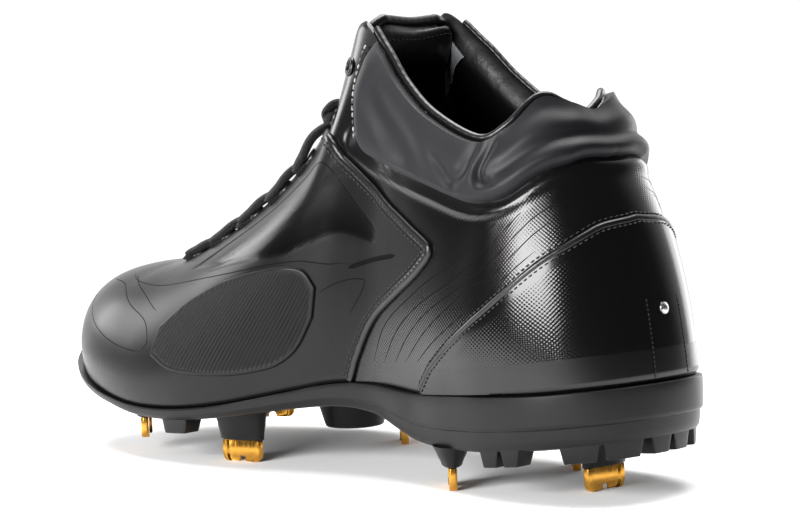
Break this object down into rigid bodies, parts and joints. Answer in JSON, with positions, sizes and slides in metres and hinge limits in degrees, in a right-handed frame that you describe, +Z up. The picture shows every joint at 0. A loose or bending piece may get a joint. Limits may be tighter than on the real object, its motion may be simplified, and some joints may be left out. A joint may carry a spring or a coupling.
{
  "type": "baseball cleat",
  "caption": "Mid-cut black leather baseball cleat for the right foot, hollow upper with padded collar and tongue, crossed laces, moulded outsole with lugs and notched metal blades.",
  "frame": {"origin": "on the ground under the middle of the shoe's outer box, where the metal blades stand", "axes": "+Y to the toe, +X to the wearer's right (outer side of the foot), +Z up"},
  "size_m": [0.109, 0.3046, 0.1621],
  "materials": {
    "matte_leather": "matte coated synthetic leather, fine grain",
    "gloss_leather": "glossy embossed synthetic leather",
    "collar_leather": "soft padded synthetic leather, fine ribs",
    "guard_rubber": "satin moulded ribs",
    "sole_plastic": "satin injection moulded",
    "foam_cloth": "knit cloth over foam",
    "lace_cloth": "braided cord",
    "label_cloth": "plain woven tape",
    "blade_metal": "polished gold plating",
    "steel": "polished"
  },
  "bodies": {
    "root": {"upper": "gloss_leather", "vamp": "matte_leather", "heel_counter": "gloss_leather", "collar_pad": "collar_leather", "collar_piping": "gloss_leather", "side_guard_medial": "guard_rubber", "side_guard_lateral": "guard_rubber", "tongue": "collar_leather", "insole": "foam_cloth", "outsole": "sole_plastic", "laces": "lace_cloth", "heel_rivet": "steel", "size_label": "label_cloth", "eyelet_medial_1": "gloss_leather", "eyelet_medial_2": "gloss_leather", "eyelet_medial_3": "gloss_leather", "eyelet_medial_4": "gloss_leather", "eyelet_medial_5": "gloss_leather", "eyelet_medial_6": "gloss_leather", "eyelet_medial_7": "gloss_leather", "eyelet_lateral_1": "gloss_leather", "eyelet_lateral_2": "gloss_leather", "eyelet_lateral_3": "gloss_leather", "eyelet_lateral_4": "gloss_leather", "eyelet_lateral_5": "gloss_leather", "eyelet_lateral_6": "gloss_leather", "eyelet_lateral_7": "gloss_leather", "blade_toe_medial": "blade_metal", "blade_toe_lateral": "blade_metal", "blade_ball_medial": "blade_metal", "blade_ball_lateral": "blade_metal", "blade_heel_medial": "blade_metal", "blade_heel_lateral": "blade_metal", "blade_heel_rear": "blade_metal"}
  },
  "joints": []
}
